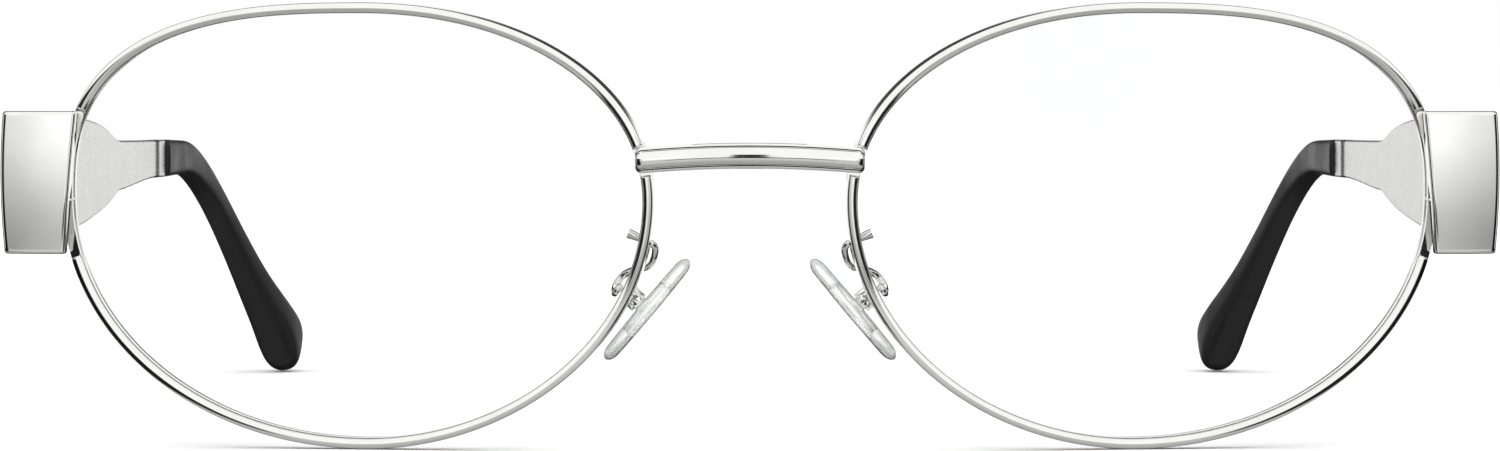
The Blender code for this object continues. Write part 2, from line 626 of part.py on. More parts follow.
def make_pad_box(side_name, side, axis):
    """A U of sheet metal, open towards the pad, with the screw across its walls."""
    mouth, wall, width, height = BOX_MOUTH, BOX_WALL, BOX_HALF_WIDTH, BOX_HALF_HEIGHT
    inside, bottom = width - wall, BOX_BACK - wall
    plan = [(mouth, -width), (BOX_BACK, -width), (BOX_BACK, width), (mouth, width),
            (mouth, inside), (bottom, inside), (bottom, -inside), (mouth, -inside)]
    rings = [[(x, y, z) for x, y in plan] for z in (-height, height)]
    box = solid(f"{side_name}_pad_box", *lofted(rings), METAL, side, axis)
    bore = PAD_SCREW_RADIUS + BORE_PLAY
    ends = (-2 * width, 2 * width)
    hole = solid(f"{side_name}_pad_box_hole", *lying(drum((bore, bore), ends)), METAL, side, axis)
    boolean(box, hole, "DIFFERENCE")
    sizes = (PAD_SCREW_RADIUS, PAD_HEAD_RADIUS, PAD_HEAD_HEIGHT)
    screw_points, slot_points = screw_shape(sizes, -width - GAP, width + GAP, (0, 0, 0))
    screw = solid(f"{side_name}_pad_screw", *lying(screw_points), METAL, side, axis)
    boolean(screw, solid(f"{side_name}_pad_screw_slot", *lying(slot_points), METAL, side, axis), "DIFFERENCE")


def pad_ring(level, grow, steps=20):
    """Teardrop ring across the pad's thickness, narrower towards the top."""
    ring = []
    for k in range(steps):
        up = math.sin(math.tau * k / steps)
        width = (PAD_HALF_WIDTH + grow) * (1 - PAD_NARROWING * up)
        across = math.cos(math.tau * k / steps) * width
        ring.append((-PAD_STANDOFF + level * PAD_HALF_THICK, across, up * (PAD_HALF_LENGTH + grow)))
    return ring


def core_plate(play):
    """The flat core inside the pad, or the pocket round it."""
    x, y, z = (half + play for half in (PAD_CORE_HALF_THICK, PAD_CORE_HALF_WIDTH, PAD_CORE_HALF_LENGTH))
    return block((-PAD_STANDOFF - x, -y, -z), (-PAD_STANDOFF + x, y, z))


def core_lug(play):
    """The lug that stands on the core and hangs on the screw, or the mouth it comes out of."""
    y, z = BOX_HALF_WIDTH - BOX_WALL - LUG_PLAY + play, LUG_HALF_HEIGHT + play
    return block((-PAD_STANDOFF, -y, -z), (LUG_REACH, y, z))


def make_pad(side_name, side, axis):
    """Clear teardrop pad moulded over a plastic core, whose lug hangs on the box's screw."""
    rings = [pad_ring(level, grow) for level, grow in PAD_LAYERS]
    pad = solid(f"{side_name}_nose_pad", *lofted(rings), SILICONE, side, axis)
    core = solid(f"{side_name}_pad_core", *core_plate(0), CORE_PLASTIC, side, axis)
    boolean(core, solid(f"{side_name}_pad_core_lug", *core_lug(0), CORE_PLASTIC, side, axis), "UNION")
    bore = PAD_SCREW_RADIUS + BORE_PLAY
    ends = (-2 * BOX_HALF_WIDTH, 2 * BOX_HALF_WIDTH)
    hole = solid(f"{side_name}_pad_core_hole", *lying(drum((bore, bore), ends)), CORE_PLASTIC, side, axis)
    boolean(core, hole, "DIFFERENCE")
    boolean(pad, solid(f"{side_name}_pad_pocket", *core_plate(GAP), SILICONE, side, axis), "DIFFERENCE")
    boolean(pad, solid(f"{side_name}_pad_mouth", *core_lug(GAP), SILICONE, side, axis), "DIFFERENCE")


# ---------------------------------------------------------------- assembly


def clear_scene():
    for old in list(bpy.data.objects):
        bpy.data.objects.remove(old)


def stand_on_origin():
    """Puts the origin under the middle of the standing glasses."""
    bpy.context.view_layer.update()
    graph = bpy.context.evaluated_depsgraph_get()
    corners = []
    for made in bpy.data.objects:
        if made.type == "MESH" and not made.hide_render:
            evaluated = made.evaluated_get(graph)
            corners += [evaluated.matrix_world @ v.co for v in evaluated.data.vertices]
    low = Vector([min(c[k] for c in corners) for k in range(3)])
    high = Vector([max(c[k] for c in corners) for k in range(3)])
    shift = Vector((0, (low.y + high.y) / 2, low.z))
    for made in bpy.data.objects:
        if made.parent is None:
            made.location -= shift


def main():
    clear_scene()
    make_bridge()
    for side_name, side in SIDES.items():
        make_rim(f"{side_name}_rim", side)
        make_lens(f"{side_name}_lens", side)
        make_endpiece(f"{side_name}_endpiece", side)
        make_closing_block(side_name, side)
        front_axis = empty(f"{side_name}_hinge_seat", (HINGE_X, HINGE_Y, HINGE_Z), side)
        temple_axis = empty(f"{side_name}_temple_axis", (HINGE_X, HINGE_Y, HINGE_Z), side,
                            (0, 0, side * math.radians(TEMPLE_TOE_IN)))
        make_hinge(side_name, side, temple_axis, front_axis)
        make_temple_arm(f"{side_name}_temple_arm", side, temple_axis)
        make_temple_tip(f"{side_name}_temple_tip", side, temple_axis)
        make_pad_arm(f"{side_name}_pad_arm", side)
        pad_seat = empty(f"{side_name}_pad_seat", PAD_PIVOT, side, pad_frame(side))
        pad_axis = empty(f"{side_name}_pad_axis", PAD_PIVOT, side, pad_frame(side))
        make_pad_box(side_name, side, pad_seat)
        make_pad(side_name, side, pad_axis)
    stand_on_origin()


main()
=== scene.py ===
import json
import math

import bmesh
import bpy
from mathutils import Matrix, Vector


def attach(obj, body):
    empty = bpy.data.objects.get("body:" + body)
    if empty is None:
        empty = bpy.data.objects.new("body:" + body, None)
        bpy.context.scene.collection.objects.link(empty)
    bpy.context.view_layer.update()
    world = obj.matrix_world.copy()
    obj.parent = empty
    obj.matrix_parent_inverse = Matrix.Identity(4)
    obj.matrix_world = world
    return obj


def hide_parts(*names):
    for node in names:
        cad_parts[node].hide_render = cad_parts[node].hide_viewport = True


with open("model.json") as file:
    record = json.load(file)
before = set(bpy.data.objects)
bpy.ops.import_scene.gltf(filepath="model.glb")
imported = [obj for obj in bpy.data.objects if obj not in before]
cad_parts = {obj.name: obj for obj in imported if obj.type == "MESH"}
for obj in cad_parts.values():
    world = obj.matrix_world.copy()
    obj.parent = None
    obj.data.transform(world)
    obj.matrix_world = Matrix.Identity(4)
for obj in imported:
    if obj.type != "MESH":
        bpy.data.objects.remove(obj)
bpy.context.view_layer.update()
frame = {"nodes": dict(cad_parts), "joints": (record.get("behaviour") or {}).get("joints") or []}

MM = 0.001
SIDES = {"left": 1, "right": -1}
X, Z = Vector((1, 0, 0)), Vector((0, 0, 1))

# ---------------------------------------------------------------- dimensions, in millimetres and degrees
# They are the CAD model's own, for the wearer's left side, before the model was stood on its origin.

LENS_X, LENS_Y, LENS_Z = 36.75, 2.2, 23.45
TEMPORAL_REACH, NASAL_REACH = 29.25, 27.6
UPPER_REACH, LOWER_REACH = 18.75, 23.5
SQUARENESS = {(1, 1): 2.65, (-1, 1): 2.1, (1, -1): 2.02, (-1, -1): 1.98}
WRAP, PANTO, BASE_RADIUS = 7.0, 3.0, 132.0
RIM_WIDTH, RIM_FRONT, RIM_BACK, BEAD_FOOT = 1.0, -1.1, 1.1, -0.75
GROOVE_HALF, GROOVE_DEPTH, SPLIT_HALF = 0.4, 0.45, 0.15
LENS_HALF, BEVEL_HALF, BEVEL_RISE, GAP = 0.75, 0.33, 0.4, 0.04

BRIDGE_Z, BRIDGE_ARCH, BRIDGE_Y, BRIDGE_BOW, BRIDGE_REACH = 27.6, 0.5, 0.45, 1.2, 10.75
BRIDGE_HALF_DEPTH, BRIDGE_SHOULDER = 0.85, 0.25
BRIDGE_FRONT_HALF_HEIGHT, BRIDGE_BACK_HALF_HEIGHT = 0.95, 1.2
BRIDGE_SEAT_ABOVE, BRIDGE_SEAT_BELOW = 1.15, 1.48

END_BOTTOM, END_TOP, FILED = 18.4, 32.0, 0.35
END_OUTER_X, END_REAR_Y = 71.35, 13.15
END_THICK, END_CROWN, END_CORNER, END_INNER_CORNER = 1.25, 0.25, 0.6, 0.15
END_INNER_X, END_LEAN = 64.5, 0.09

HINGE = Vector((68.6, 13.2, 25.4))
TOE_IN = 2.8
TEMPLE_INNER, TEMPLE_OUTER = 1.38, 2.65
TEMPLE_TOP = [
    (0.05, 6.5), (15, 6.4), (30, 5.85), (39, 5.3), (45, 4.6), (48.5, 3.9), (51.5, 3.4), (55, 3.3), (76, 3.2),
]
TEMPLE_BOTTOM = [
    (0.05, -6.5), (15, -6.15), (30, -5.2), (39, -4.3), (45, -3.5), (48.5, -2.8), (51.5, -2.15), (55, -1.95),
    (76, -1.0),
]
COLLAR_START, COLLAR_FULL, COLLAR_HALF_THICK, ARM_END = 73.6, 75.2, 0.95, 78.9
DROP, DROP_START, DROP_END = 45.2, 90.0, 113.0
INWARD, INWARD_START, INWARD_END = 14.1, 91.0, 111.0
TIP_START, TIP_END = 79.0, 135.5
TIP_MIDDLES = [
    (79, 1.1), (100, 1.05), (108, 0.85), (116, 0.3), (122, -0.1), (128, -0.1), (132, -0.2), (135.5, 0.0),
]
TIP_HALF_HEIGHTS = [
    (79, 2.1), (90, 1.95), (102, 1.85), (112, 1.9), (119, 2.15), (125, 2.65), (130, 3.45), (132.8, 4.0),
    (134.6, 3.4), (135.5, 2.2),
]
TIP_HALF_THICKS = [
    (79, 1.45), (88, 1.35), (100, 1.25), (112, 1.4), (120, 1.7), (127, 2.15), (131, 2.4), (133.4, 2.25),
    (134.8, 1.65), (135.5, 0.9),
]
TIP_ROUNDING = (0.45, 0.7)

PAD_PIVOT, PAD_LEAN = Vector((10.95, 9.5, 14.0)), 40.0
PAD_HALF_LENGTH, PAD_HALF_WIDTH, PAD_HALF_THICK = 6.2, 3.4, 0.8
PAD_STANDOFF, PAD_NARROWING = 1.45, 0.22
ARM_WIRE_RADIUS = 0.34
ARM_ROUTE = [
    (11.5, 3.75, 20.5), (9.95, 3.75, 19.85), (9.0, 4.1, 19.2), (9.15, 5.6, 18.0), (9.8, 7.7, 17.2),
    (10.9, 9.8, 16.9), (12.1, 11.1, 16.3), (12.85, 11.1, 15.3), (12.95, 10.3, 14.6), (12.75, 9.6, 14.85),
    (12.2, 9.5, 15.4),
]

# The model's origin in these millimetres, from a hinge whose place is known in both.
HINGE_JOINT = next(j for j in frame["joints"] if j["name"] == "left_temple_fold")
ORIGIN = HINGE - Vector(HINGE_JOINT["pos_m"]) / MM


# ---------------------------------------------------------------- node helpers

NOISE_RANGE = (0.3, 0.7)  # most of what a noise node gives lies between these
WHITE = (1.0, 1.0, 1.0, 1.0)


class Nodes:
    """Short calls for a node tree."""

    def __init__(self, tree):
        self.tree = tree
        tree.nodes.clear()

    def add(self, kind, inputs=None, **settings):
        node = self.tree.nodes.new(kind)
        for key, value in settings.items():
            setattr(node, key, value)
        for key, value in (inputs or {}).items():
            if isinstance(value, bpy.types.NodeSocket):
                self.tree.links.new(value, node.inputs[key])
            else:
                node.inputs[key].default_value = value
        return node

    def math(self, operation, *values):
        return self.add("ShaderNodeMath", dict(enumerate(values)), operation=operation).outputs[0]

    def ramp(self, value, low, high, start=0.0, end=1.0, smooth=True):
        """Maps value from low..high to start..end, and holds it outside."""
        inputs = {"Value": value, "From Min": low, "From Max": high, "To Min": start, "To Max": end}
        kind = "SMOOTHSTEP" if smooth else "LINEAR"
        return self.add("ShaderNodeMapRange", inputs, interpolation_type=kind, clamp=True).outputs[0]

    def noise(self, vector, scale, detail=3.0, roughness=0.5):
        inputs = {"Vector": vector, "Scale": scale, "Detail": detail, "Roughness": roughness}
        return self.add("ShaderNodeTexNoise", inputs).outputs[0]

    def colours(self, value, dark, light):
        """Colour from dark to light as value goes through the range of a noise."""
        node = self.add("ShaderNodeValToRGB", {0: value})
        for end, position, colour in zip(node.color_ramp.elements, NOISE_RANGE, (dark, light)):
            end.position = position
            end.color = (*colour, 1)
        return node.outputs[0]

    def bump(self, height, strength, distance, normal=None):
        inputs = {"Height": height, "Strength": strength, "Distance": distance}
        if normal:
            inputs["Normal"] = normal
        return self.add("ShaderNodeBump", inputs).outputs[0]


def new_material(name):
    made = bpy.data.materials.new(name)
    made.use_nodes = True
    nodes = Nodes(made.node_tree)
    place = nodes.add("ShaderNodeTexCoord").outputs["Object"]
    return made, nodes, place


def finish_material(nodes, shader):
    nodes.add("ShaderNodeOutputMaterial", {"Surface": shader})


# ---------------------------------------------------------------- materials


def stretched(nodes, place, stretch):
    return nodes.add("ShaderNodeMapping", {"Vector": place, "Scale": stretch}).outputs[0]


def polished_steel():
    """Bright warm white metal with faint polishing marks and a few smudges."""
    made, nodes, place = new_material("fine_polished_steel")
    cloud = nodes.noise(place, 260.0, 2.0)
    lines = nodes.noise(stretched(nodes, place, (400.0, 400.0, 5200.0)), 1.0, 2.0)
    grain = nodes.noise(place, 9000.0, 2.0)
    colour = nodes.colours(cloud, (0.905, 0.905, 0.865), (0.955, 0.955, 0.92))
    rough = nodes.math("ADD", nodes.ramp(cloud, 0.3, 0.75, 0.045, 0.085), nodes.math("MULTIPLY", lines, 0.03))
    normal = nodes.bump(grain, 0.04, 2e-6, nodes.bump(lines, 0.05, 3e-6))
    shader = nodes.add("ShaderNodeBsdfPrincipled", {
        "Base Color": colour, "Metallic": 1.0, "Roughness": rough, "Normal": normal,
    })
    finish_material(nodes, shader.outputs[0])
    return made


def satin_steel():
    """Finely scratched metal: a sparkle of short marks along the arm over an even grey."""
    made, nodes, place = new_material("fine_satin_steel")
    pits = nodes.noise(stretched(nodes, place, (9500.0, 1700.0, 9500.0)), 1.0, 3.0, 0.6)
    cloud = nodes.noise(place, 420.0, 2.0)
    blend = nodes.math("ADD", nodes.math("MULTIPLY", pits, 0.75), nodes.math("MULTIPLY", cloud, 0.25))
    colour = nodes.colours(blend, (0.68, 0.68, 0.66), (0.93, 0.93, 0.905))
    rough = nodes.ramp(pits, *NOISE_RANGE, 0.24, 0.36)
    normal = nodes.bump(pits, 0.3, 1.0e-5)
    shader = nodes.add("ShaderNodeBsdfPrincipled", {
        "Base Color": colour, "Metallic": 1.0, "Roughness": rough, "Normal": normal,
    })
    finish_material(nodes, shader.outputs[0])
    return made


def black_plastic():
    """Moulded black plastic with a fine matte grain that skin has polished a little."""
    made, nodes, place = new_material("fine_black_tip_plastic")
    grain = nodes.noise(place, 6500.0, 3.0, 0.55)
    wear = nodes.noise(place, 190.0, 2.0)
    colour = nodes.colours(grain, (0.0035, 0.0035, 0.0038), (0.007, 0.007, 0.0073))
    rough = nodes.math("ADD", nodes.ramp(wear, 0.35, 0.65, 0.36, 0.44), nodes.math("MULTIPLY", grain, 0.06))
    normal = nodes.bump(grain, 0.22, 8e-6)
    shader = nodes.add("ShaderNodeBsdfPrincipled", {
        "Base Color": colour, "Roughness": rough, "IOR": 1.5, "Specular IOR Level": 0.32, "Normal": normal,
    })
    finish_material(nodes, shader.outputs[0])
    return made


def clear_lens():
    """Coated clear lens: light goes through unbent, and only its slopes and edge shine faintly."""
    made, nodes, place = new_material("fine_clear_lens")
    waves = nodes.bump(nodes.noise(place, 60.0, 1.0), 0.03, 1e-5)
    fresnel = nodes.add("ShaderNodeFresnel", {"IOR": 1.5, "Normal": waves}).outputs[0]
    share = nodes.ramp(fresnel, 0.04, 0.6, 0.003, 0.35, smooth=False)
    tint = nodes.colours(nodes.noise(place, 35.0, 1.0), (0.992, 0.996, 0.994), (1.0, 1.0, 1.0))
    through = nodes.add("ShaderNodeBsdfTransparent", {"Color": tint}).outputs[0]
    shine = nodes.add("ShaderNodeBsdfAnisotropic", {"Color": WHITE, "Roughness": 0.02, "Normal": waves})
    shader = nodes.add("ShaderNodeMixShader", {0: share, 1: through, 2: shine.outputs[0]})
    finish_material(nodes, shader.outputs[0])
    return made


def clear_silicone():
    """Soft clear silicone with an uneven moulded skin, and painted shade that greys its colour where the
    sight line grazes it.
    """
    made, nodes, place = new_material("fine_clear_silicone")
    skin = nodes.noise(place, 900.0, 2.0)
    normal = nodes.bump(skin, 0.1, 3e-5)
    clear = nodes.colours(nodes.noise(place, 240.0, 1.0), (0.93, 0.94, 0.93), (0.975, 0.98, 0.975))
    # Painted shade: the colour turns grey where the sight line grazes the pad, for the darker look of its
    # edges, and this greyed colour feeds both the bent and the straight light.
    slope = nodes.add("ShaderNodeLayerWeight", {"Blend": 0.5, "Normal": normal}).outputs["Facing"]
    edge = nodes.ramp(slope, 0.5, 0.97, 0.0, 1.0)
    tint = nodes.add("ShaderNodeMixRGB", {"Fac": edge, "Color1": clear, "Color2": (0.40, 0.41, 0.40, 1.0)})
    bent = nodes.add("ShaderNodeBsdfPrincipled", {
        "Base Color": tint.outputs[0], "Roughness": nodes.ramp(skin, *NOISE_RANGE, 0.02, 0.07), "IOR": 1.41,
        "Transmission Weight": 1.0, "Normal": normal,
    })
    straight = nodes.add("ShaderNodeBsdfTransparent", {"Color": tint.outputs[0]})
    shader = nodes.add("ShaderNodeMixShader", {0: 0.5, 1: straight.outputs[0], 2: bent.outputs[0]})
    finish_material(nodes, shader.outputs[0])
    return made


def core_plastic():
    """Translucent hard plastic inside a pad."""
    made, nodes, place = new_material("fine_pad_core_plastic")
    flow = nodes.noise(place, 700.0, 2.0)
    colour = nodes.colours(flow, (0.80, 0.82, 0.81), (0.90, 0.91, 0.90))
    shader = nodes.add("ShaderNodeBsdfPrincipled", {
        "Base Color": colour, "Roughness": nodes.ramp(flow, *NOISE_RANGE, 0.04, 0.12), "IOR": 1.46,
        "Transmission Weight": 1.0, "Normal": nodes.bump(flow, 0.1, 2e-5),
    })
    finish_material(nodes, shader.outputs[0])
    return made


FINISHES = {
    "polished_steel": polished_steel(),
    "satin_steel": satin_steel(),
    "black_tip_plastic": black_plastic(),
    "clear_lens": clear_lens(),
    "clear_silicone": clear_silicone(),
    "pad_core_plastic": core_plastic(),
}


# ---------------------------------------------------------------- mesh helpers

SHARP_EDGE = 35.0  # an edge that turns by more than this stays sharp
SOFT_EDGE = 60.0  # the same, for pieces that are round all over


def lofted(rings, loop=False):
    """Points and faces of the skin through rings of equal length, capped unless the rings form a loop."""
    count = len(rings[0])
    points = [p for ring in rings for p in ring]
    faces = []
    for i in range(len(rings) if loop else len(rings) - 1):
        a, b = i * count, (i + 1) % len(rings) * count
        faces += [(a + k, a + (k + 1) % count, b + (k + 1) % count, b + k) for k in range(count)]
    if not loop:
        faces.append(tuple(range(count)))
        faces.append(tuple(range(len(points) - count, len(points))))
    return points, faces


def to_world(point, side):
    """Metres in the model's frame, from millimetres on the wearer's left, mirrored by side."""
    p = (Vector(point) - ORIGIN) * MM
    return (side * p.x, p.y, p.z)


def make_piece(name, shape, slot, side, body, nodes, sharp=SHARP_EDGE):
    """A closed smooth piece that stands for CAD nodes and rides on their body."""
    points, faces = shape
    mesh = bpy.data.meshes.new(name)
    mesh.from_pydata([to_world(p, side) for p in points], [], faces)
    shell = bmesh.new()
    shell.from_mesh(mesh)
    bmesh.ops.recalc_face_normals(shell, faces=shell.faces)
    shell.to_mesh(mesh)
    shell.free()
    mesh.shade_smooth()
    mesh.set_sharp_from_angle(angle=math.radians(sharp))
    mesh.materials.append(FINISHES[slot])
    piece = bpy.data.objects.new(name, mesh)
    bpy.context.scene.collection.objects.link(piece)
    weighted = piece.modifiers.new("even_normals", "WEIGHTED_NORMAL")
    weighted.keep_sharp = True
    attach(piece, body)
    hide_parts(*nodes)
    return piece


def between(table, at):
    """Smooth curve through a table of (station, value), with flat ends."""
    if at <= table[0][0]:
        return table[0][1]
    if at >= table[-1][0]:
        return table[-1][1]
    i = next(k for k in range(len(table) - 1) if table[k + 1][0] >= at)

    def slope(k):
        if k in (0, len(table) - 1):
            return 0.0
        return (table[k + 1][1] - table[k - 1][1]) / (table[k + 1][0] - table[k - 1][0])

    (x0, y0), (x1, y1) = table[i], table[i + 1]
    span = x1 - x0
    u = (at - x0) / span
    return ((2 * u**3 - 3 * u**2 + 1) * y0 + (u**3 - 2 * u**2 + u) * span * slope(i)
            + (3 * u**2 - 2 * u**3) * y1 + (u**3 - u**2) * span * slope(i + 1))


def eased(start, end, at):
    """0 before start, 1 after end, and a smooth step between."""
    u = min(1.0, max(0.0, (at - start) / (end - start)))
    return u * u * (3 - 2 * u)


def spread(start, end, count):
    return [start + (end - start) * k / (count - 1) for k in range(count)]


def curve_through(points, steps):
    """Catmull-Rom curve through points, with so many steps between two of them."""
    route = [Vector(p) for p in points]
    padded = [2 * route[0] - route[1], *route, 2 * route[-1] - route[-2]]
    made = []
    for a, b, c, d in zip(padded, padded[1:], padded[2:], padded[3:]):
        for k in range(steps):
            u = k / steps
            made.append(0.5 * (2 * b + (c - a) * u + (2 * a - 5 * b + 4 * c - d) * u**2
                               + (3 * b - 3 * c + d - a) * u**3))
    return made + [route[-1]]


def arc(steps):
    """(sine, 1 - cosine) of angles from 0 to a right angle."""
    turns = [math.pi / 2 * k / steps for k in range(steps + 1)]
    return [(math.sin(turn), 1 - math.cos(turn)) for turn in turns]


# ---------------------------------------------------------------- the oval of an eye

TINY_TURN = 1e-3  # step along the oval that its direction and speed are taken over


def outline(t):
    """Point (outwards, up) of the rim's outer edge. t = 0 is the temporal end, and pi/2 the top."""
    x, z = math.cos(t), math.sin(t)
    reach = TEMPORAL_REACH if x > 0 else NASAL_REACH
    rise = UPPER_REACH if z > 0 else LOWER_REACH
    power = SQUARENESS[(1 if x > 0 else -1, 1 if z > 0 else -1)]
    x, z = x * reach, z * rise
    scale = (abs(x / reach) ** power + abs(z / rise) ** power) ** (-1 / power)
    return Vector((x * scale, z * scale))


def outward(t):
    """Unit normal of the outline."""
    along = outline(t + TINY_TURN) - outline(t - TINY_TURN)
    return Vector((along.y, -along.x)).normalized()


def depth(x, z):
    """How far the base sphere has fallen back at a point of the lens plane."""
    return BASE_RADIUS - math.sqrt(BASE_RADIUS**2 - x * x - z * z)


def from_lens(x, z, v):
    """Point of the glasses from the left eye's lens plane: outwards, up and back."""
    wrap, panto = math.radians(WRAP), math.radians(PANTO)
    back = v * math.cos(panto) - z * math.sin(panto)
    up = v * math.sin(panto) + z * math.cos(panto)
    return Vector((
        LENS_X + x * math.cos(wrap) - back * math.sin(wrap),
        LENS_Y + back * math.cos(wrap) + x * math.sin(wrap),
        LENS_Z + up,
    ))


def section(t, profile):
    """A rim or lens profile of (outwards, back) points, set on the oval at t and on the base sphere."""
    base, normal = outline(t), outward(t)
    made = []
    for u, v in profile:
        spot = base + normal * u
        made.append(from_lens(spot.x, spot.y, depth(*spot) + v))
    return made


def crossing(height, low, high):
    """The t between low and high where the oval passes a height."""
    below = section(low, [(0, 0)])[0].z < height
    for _ in range(30):
        middle = (low + high) / 2
        if (section(middle, [(0, 0)])[0].z < height) == below:
            low = middle
        else:
            high = middle
    return low


def filed_front(x, z):
    """Point just in front of the rim's filed surface, at (x, z) seen from the front."""
    across, up = x - LENS_X, z - LENS_Z
    for _ in range(6):
        found = from_lens(across, up, depth(across, up) + BEAD_FOOT - GAP)
        across += x - found.x
        up += z - found.z
    return found


# ---------------------------------------------------------------- rims and lenses

# Front of the rim from its outer to its inner edge: (share of the width, share of the bead's rise)
BEAD_SHAPE = [
    (0.0, 0.0), (0.01, 0.42), (0.05, 0.66), (0.12, 0.79), (0.22, 0.88), (0.33, 0.95), (0.43, 0.99),
    (0.5, 1.0), (0.55, 0.95), (0.62, 0.82), (0.72, 0.60), (0.82, 0.36), (0.9, 0.10), (0.95, -0.12),
    (1.0, -0.42),
]
BEAD_END = 0.28  # length over which the bead rounds down where it is filed away
BACK_BEVEL, BACK_SOFTENING = 0.12, 0.3  # of the back's edges, and how far the bevel's middle is rounded in
RIM_SHY = 0.002  # how far the smooth rim stays inside the CAD rim
RIM_STATIONS, BEAD_END_STATIONS = 420, 9


def rim_profile(bead, curve):
    """Section of the eyewire where its bead stands at so much of its height."""
    height = (RIM_FRONT - BEAD_FOOT) * bead
    front = [(-RIM_WIDTH * share, BEAD_FOOT + height * rise) for share, rise in curve]
    soft = BACK_SOFTENING * BACK_BEVEL
    profile = [
        (-BACK_BEVEL, RIM_BACK), (-soft, RIM_BACK - soft), (0, RIM_BACK - BACK_BEVEL),
        *front,
        (-RIM_WIDTH, -GROOVE_HALF), (-RIM_WIDTH + GROOVE_DEPTH, 0), (-RIM_WIDTH, GROOVE_HALF),
        (-RIM_WIDTH, RIM_BACK - BACK_BEVEL), (-RIM_WIDTH + soft, RIM_BACK - soft),
        (-RIM_WIDTH + BACK_BEVEL, RIM_BACK),
    ]
    return [(u - RIM_SHY, v) for u, v in profile]


def make_rim(side_name, side):
    """Eyewire, its bead filed away under the endpiece and the bridge, with a saw cut at the temple side."""
    curve = [(p.x, p.y) for p in curve_through([(u, v, 0) for u, v in BEAD_SHAPE], 3)]
    temporal, nasal = (0.05, 1.2), (math.pi - 0.05, 2.0)
    end_top = crossing(END_TOP + FILED, *temporal)
    end_bottom = crossing(END_BOTTOM - FILED, *(-t for t in temporal)) % math.tau
    bridge_top = crossing(BRIDGE_Z + BRIDGE_SEAT_ABOVE, *nasal)
    bridge_bottom = crossing(BRIDGE_Z - BRIDGE_SEAT_BELOW, *nasal)
    spans = [(end_top, bridge_top), (bridge_bottom, end_bottom)]

    def speed(t):
        return (outline(t + TINY_TURN) - outline(t)).length / TINY_TURN

    def bead(t):
        """0 where the bead is filed away, 1 where it stands, and a quarter round between."""
        inside = max(min((t - a) * speed(a), (b - t) * speed(b)) for a, b in spans)
        u = min(1.0, max(0.0, inside / BEAD_END))
        return math.sqrt(1 - (1 - u) ** 2)

    cut = SPLIT_HALF / TEMPORAL_REACH
    stations = spread(cut, math.tau - cut, RIM_STATIONS)
    for a, b in spans:
        for step in spread(0, BEAD_END, BEAD_END_STATIONS):
            stations += [a + step / speed(a), b - step / speed(b)]
    rings = [section(t, rim_profile(bead(t), curve)) for t in sorted(stations)]
    make_piece(f"{side_name}_rim_fine", lofted(rings), "polished_steel", side, "front", [f"{side_name}_rim"])


LENS_STEPS = 160
LENS_RINGS = [0.02, 0.08, *spread(0.16, 0.96, 11), 0.985]  # shares of the way from the middle to the edge


def make_lens(side_name, side):
    """Domed clear lens with a V bevel that sits in the rim's groove."""
    edge = -RIM_WIDTH - GAP
    turns = [math.tau * k / LENS_STEPS for k in range(LENS_STEPS)]

    def face(share, v):
        made = []
        for t in turns:
            base = outline(t) + outward(t) * edge
            made.append(from_lens(base.x * share, base.y * share, depth(*(base * share)) + v))
        return made

    bevel = [
        (edge, -LENS_HALF), (edge, -BEVEL_HALF), (edge + BEVEL_RISE, 0),
        (edge, BEVEL_HALF), (edge, LENS_HALF),
    ]
    sections = [section(t, bevel) for t in turns]
    rings = [face(share, -LENS_HALF) for share in LENS_RINGS]
    rings += [[s[k] for s in sections] for k in range(len(bevel))]
    rings += [face(share, LENS_HALF) for share in reversed(LENS_RINGS)]
    make_piece(f"{side_name}_lens_fine", lofted(rings), "clear_lens", side, "front", [f"{side_name}_lens"])


# ---------------------------------------------------------------- bridge and endpieces

BRIDGE_END_ROUND, BRIDGE_END_SIZE = 0.62, 0.45  # length of the rounding, and how small the bar ends
BRIDGE_BACK_BEVEL, BRIDGE_CREASE = 0.12, 0.2  # the round front meets the ledges this far behind the shoulder
BRIDGE_SHY = 0.01  # how far the smooth front stays inside the CAD bridge
BRIDGE_FRONT_LESS = 0.04  # the round front stops this far short of the CAD bar's, above and below
BRIDGE_FOLD = (0.03, 0.06)  # where each ledge starts: forward of the shoulder, and out from the round front
BRIDGE_LEDGE_ROUND = (0.1, 0.09)  # rounding of a ledge's outer edge, back and in
BRIDGE_LAP = 0.2  # the bar is held in front of the rims from this far outside them


def bridge_profile(steps=28):
    """(back, up) points: a round front between two narrow ledges, and a flat back."""
    dome = BRIDGE_HALF_DEPTH - BRIDGE_SHOULDER + BRIDGE_CREASE - BRIDGE_SHY
    shoulder = -BRIDGE_SHOULDER + BRIDGE_CREASE
    front, back = BRIDGE_FRONT_HALF_HEIGHT - BRIDGE_FRONT_LESS, BRIDGE_BACK_HALF_HEIGHT
    turns = spread(0, math.pi, steps)
    profile = [(shoulder - dome * math.sin(turn), -front * math.cos(turn)) for turn in turns]
    forward, out = BRIDGE_FOLD
    behind, inward = BRIDGE_LEDGE_ROUND
    ledge = [
        (-BRIDGE_SHOULDER - forward, front + out), (-BRIDGE_SHOULDER, back - inward),
        (-BRIDGE_SHOULDER + behind, back),
        (BRIDGE_HALF_DEPTH - BRIDGE_BACK_BEVEL, back), (BRIDGE_HALF_DEPTH, back - BRIDGE_BACK_BEVEL),
    ]
    return profile + ledge + [(y, -z) for y, z in reversed(ledge)]


